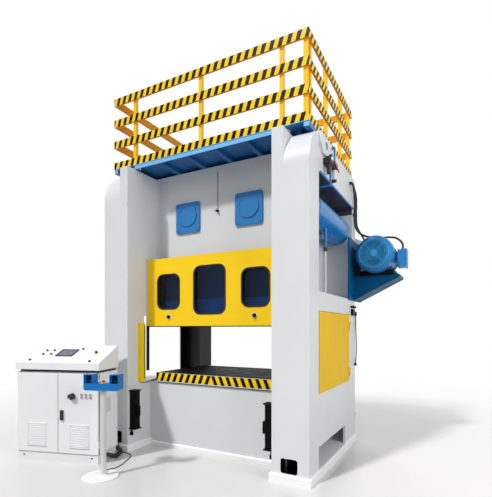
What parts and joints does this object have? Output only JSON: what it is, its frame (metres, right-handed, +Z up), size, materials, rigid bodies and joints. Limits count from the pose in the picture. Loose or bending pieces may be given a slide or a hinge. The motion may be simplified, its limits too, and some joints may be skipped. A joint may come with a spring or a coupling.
{
  "type": "eccentric press",
  "caption": "Straight-side two-point eccentric press with counter-rotating eccentric gears, sliding front guard, railed service platform, control desk and two-hand stand.",
  "frame": {"origin": "on the floor, midway between the two columns and midway between their front and rear faces", "axes": "+X to the operator's right, +Y to the rear, +Z up"},
  "size_m": [4.4329, 3.6973, 4.8974],
  "materials": {
    "frame_paint": "semi-gloss light grey machine enamel",
    "light_grey_paint": "satin",
    "desk_paint": "fine-textured powder coat",
    "yellow_paint": "gloss enamel",
    "hazard_paint": "gloss, slanted black stripes on the outer faces",
    "blue_paint": "gloss enamel",
    "navy_paint": "satin",
    "black_steel": "satin",
    "machined_steel": "turned",
    "cast_iron": "as cast with turned faces",
    "bronze": "planed",
    "rubber": "matte",
    "black_plastic": "satin",
    "cable_black": "matte sheath",
    "red_plastic": "gloss",
    "clear_pane": "clear",
    "screen": "gloss glass over a dark display"
  },
  "bodies": {
    "frame": {"bed": "frame_paint", "column_left": "frame_paint", "column_right": "frame_paint", "crown": "frame_paint", "tie_rods": "machined_steel", "bolster": "black_steel", "slide_gibs": "bronze", "gear_covers": "blue_paint", "gear_pins": "machined_steel", "pinion_bearings": "cast_iron", "motor_bracket": "navy_paint", "motor_body": "blue_paint", "motor_fan_cover": "blue_paint", "motor_terminal_box": "blue_paint", "v_belts": "rubber", "belt_guard": "frame_paint", "platform_deck": "blue_paint", "railing_posts": "yellow_paint", "hazard_rails": "hazard_paint", "lifting_lugs": "frame_paint", "light_curtains": "yellow_paint", "die_arm_brackets": "black_steel", "air_tank": "blue_paint", "frl_unit": "black_plastic", "air_pipes": "blue_paint", "motor_conduit": "cable_black", "rear_hose": "cable_black", "electric_fittings": "black_plastic", "guard_rails": "light_grey_paint", "side_door_hinges": "machined_steel", "desk_cabinet": "desk_paint", "desk_top": "desk_paint", "touch_screen": "screen", "stand_post": "desk_paint", "stand_box": "blue_paint", "stand_cable": "cable_black", "desk_loom": "cable_black"},
    "ram": {"slide": "navy_paint"},
    "gear_left": {"eccentric_gear_left": "cast_iron"},
    "gear_right": {"eccentric_gear_right": "cast_iron"},
    "rod_left": {"conrod_left": "cast_iron"},
    "rod_right": {"conrod_right": "cast_iron"},
    "pinion": {"pinion_shaft": "machined_steel"},
    "flywheel": {"flywheel": "cast_iron"},
    "motor_shaft": {"motor_rotor": "machined_steel", "motor_pulley": "cast_iron"},
    "guard": {"front_guard": "yellow_paint", "guard_windows": "clear_pane"},
    "lock_left": {"guard_lock_left": "black_plastic"},
    "lock_right": {"guard_lock_right": "black_plastic"},
    "side_door": {"side_door": "yellow_paint"},
    "air_lever": {"air_valve_lever": "red_plastic"},
    "cabinet_door_left": {"desk_door_left": "desk_paint"},
    "cabinet_door_right": {"desk_door_right": "desk_paint"},
    "cabinet_handle": {"desk_door_handle": "black_plastic"},
    "main_switch": {"main_switch": "black_plastic"},
    "desk_stop": {"desk_estop": "red_plastic"},
    "palm_left": {"palm_button_left": "black_plastic"},
    "palm_right": {"palm_button_right": "black_plastic"},
    "stand_stop": {"stand_estop": "red_plastic"}
  },
  "joints": [
    {"name": "ram_slide", "type": "slide", "parent": "frame", "child": "ram", "axis": [0, 0, 1], "range_m": [-0.2, 0]},
    {"name": "gear_left_turn", "type": "hinge", "parent": "frame", "child": "gear_left", "pos_m": [-0.48, 0, 3.265], "axis": [0, 1, 0], "range_deg": [-180, 0]},
    {"name": "gear_right_turn", "type": "hinge", "parent": "frame", "child": "gear_right", "pos_m": [0.48, 0, 3.265], "axis": [0, 1, 0], "range_deg": [0, 180]},
    {"name": "rod_left_swing", "type": "hinge", "parent": "gear_left", "child": "rod_left", "pos_m": [-0.48, 0, 3.365], "axis": [0, 1, 0], "range_deg": [0, 180]},
    {"name": "rod_right_swing", "type": "hinge", "parent": "gear_right", "child": "rod_right", "pos_m": [0.48, 0, 3.365], "axis": [0, 1, 0], "range_deg": [-180, 0]},
    {"name": "pinion_turn", "type": "hinge", "parent": "frame", "child": "pinion", "pos_m": [0.86567, 0, 2.80537], "axis": [0, 1, 0], "range_deg": [-720, 0]},
    {"name": "flywheel_turn", "type": "hinge", "parent": "frame", "child": "flywheel", "pos_m": [0.86567, 1.49, 2.80537], "axis": [0, 1, 0], "continuous": true},
    {"name": "motor_turn", "type": "hinge", "parent": "frame", "child": "motor_shaft", "pos_m": [1.832, 1.49, 2.68], "axis": [0, 1, 0], "continuous": true},
    {"name": "guard_slide", "type": "slide", "parent": "frame", "child": "guard", "axis": [0, 0, 1], "range_m": [-0.6, 0]},
    {"name": "guard_lock_left_turn", "type": "hinge", "parent": "guard", "child": "lock_left", "pos_m": [-0.662, -0.645, 1.811], "axis": [0, -1, 0], "range_deg": [0, 90]},
    {"name": "guard_lock_right_turn", "type": "hinge", "parent": "guard", "child": "lock_right", "pos_m": [0.662, -0.645, 1.811], "axis": [0, 1, 0], "range_deg": [0, 90]},
    {"name": "side_door_swing", "type": "hinge", "parent": "frame", "child": "side_door", "pos_m": [1.505, 0.655, 1.385], "axis": [0, 0, 1], "range_deg": [0, 110]},
    {"name": "air_lever_turn", "type": "hinge", "parent": "frame", "child": "air_lever", "pos_m": [1.582, -0.381, 3.57], "axis": [1, 0, 0], "range_deg": [-70, 0]},
    {"name": "cabinet_door_left_swing", "type": "hinge", "parent": "frame", "child": "cabinet_door_left", "pos_m": [-2.06502, -1.89751, 0.609], "axis": [0, 0, -1], "range_deg": [0, 90]},
    {"name": "cabinet_door_right_swing", "type": "hinge", "parent": "frame", "child": "cabinet_door_right", "pos_m": [-0.9863, -1.56771, 0.609], "axis": [0, 0, 1], "range_deg": [0, 90]},
    {"name": "cabinet_handle_turn", "type": "hinge", "parent": "cabinet_door_right", "child": "cabinet_handle", "pos_m": [-1.45505, -1.7173, 0.584], "axis": [0.2924, -0.9563, 0], "range_deg": [0, 90]},
    {"name": "main_switch_turn", "type": "hinge", "parent": "cabinet_door_right", "child": "main_switch", "pos_m": [-1.31734, -1.6752, 0.82], "axis": [0.2924, -0.9563, 0], "range_deg": [0, 90]},
    {"name": "desk_stop_press", "type": "slide", "parent": "frame", "child": "desk_stop", "axis": [0.1182, -0.3865, 0.9147], "range_m": [-0.006, 0]},
    {"name": "palm_left_press", "type": "slide", "parent": "frame", "child": "palm_left", "axis": [0, 0, 1], "range_m": [-0.007, 0], "stiffness_N_per_m": 1500, "springref_m": 0.004},
    {"name": "palm_right_press", "type": "slide", "parent": "frame", "child": "palm_right", "axis": [0, 0, 1], "range_m": [-0.007, 0], "stiffness_N_per_m": 1500, "springref_m": 0.004},
    {"name": "stand_stop_press", "type": "slide", "parent": "frame", "child": "stand_stop", "axis": [0, 0, 1], "range_m": [-0.006, 0]}
  ],
  "couplings": [
    {"joint": "gear_left_turn", "follows": "ram_slide", "rad_per_m": 15.708},
    {"joint": "gear_right_turn", "follows": "ram_slide", "rad_per_m": -15.708},
    {"joint": "rod_left_swing", "follows": "ram_slide", "rad_per_m": -15.708},
    {"joint": "rod_right_swing", "follows": "ram_slide", "rad_per_m": 15.708},
    {"joint": "pinion_turn", "follows": "ram_slide", "rad_per_m": 62.832},
    {"joint": "motor_turn", "follows": "flywheel_turn", "ratio": 4}
  ]
}
